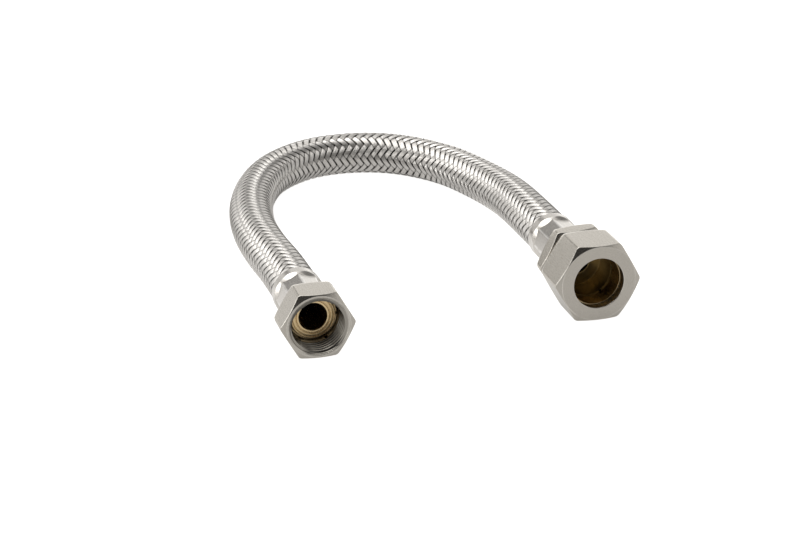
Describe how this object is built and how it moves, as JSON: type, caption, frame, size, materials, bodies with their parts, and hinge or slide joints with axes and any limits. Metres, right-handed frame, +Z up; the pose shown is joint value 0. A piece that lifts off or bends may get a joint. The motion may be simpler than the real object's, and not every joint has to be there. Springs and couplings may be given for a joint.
{
  "type": "braided supply line",
  "caption": "Short flexible water hose in a stainless wire braid, with a threaded swivel nut at one end and a compression fitting for plain pipe at the other.",
  "frame": {"origin": "middle of the footprint of the two end fittings, on the surface that the line lies on", "axes": "-Y out of both mouths, +X from the swivel end to the compression end, +Z up"},
  "size_m": [0.1088, 0.1628, 0.023],
  "materials": {
    "nickel_plate": "satin nickel plate over brass",
    "stainless_wire": "bright drawn wire, woven",
    "stainless_sleeve": "bright rolled sheet, crimped",
    "bare_brass": "turned, unplated",
    "black_rubber": "matt"
  },
  "bodies": {
    "hose_line": {"braid_sleeve": "stainless_wire", "rubber_liner": "black_rubber", "swivel_tail": "bare_brass", "swivel_ferrule": "stainless_sleeve", "compression_body": "nickel_plate", "compression_ferrule": "stainless_sleeve"},
    "swivel_nut": {"swivel_nut": "nickel_plate"},
    "olive": {"compression_olive": "bare_brass"},
    "compression_nut": {"compression_nut": "nickel_plate"}
  },
  "joints": [
    {"name": "swivel_nut_spin", "type": "hinge", "parent": "hose_line", "child": "swivel_nut", "pos_m": [-0.04345, -0.0231, 0.0095], "axis": [0, -1, 0], "continuous": true},
    {"name": "compression_nut_travel", "type": "slide", "parent": "hose_line", "child": "olive", "axis": [0, -1, 0], "range_m": [0, 0.00635]},
    {"name": "compression_nut_turn", "type": "hinge", "parent": "olive", "child": "compression_nut", "pos_m": [0.04115, -0.0183, 0.0115], "axis": [0, -1, 0], "range_deg": [0, 1260]}
  ],
  "couplings": [
    {"joint": "compression_nut_travel", "follows": "compression_nut_turn", "m_per_rad": 0.00028871}
  ]
}
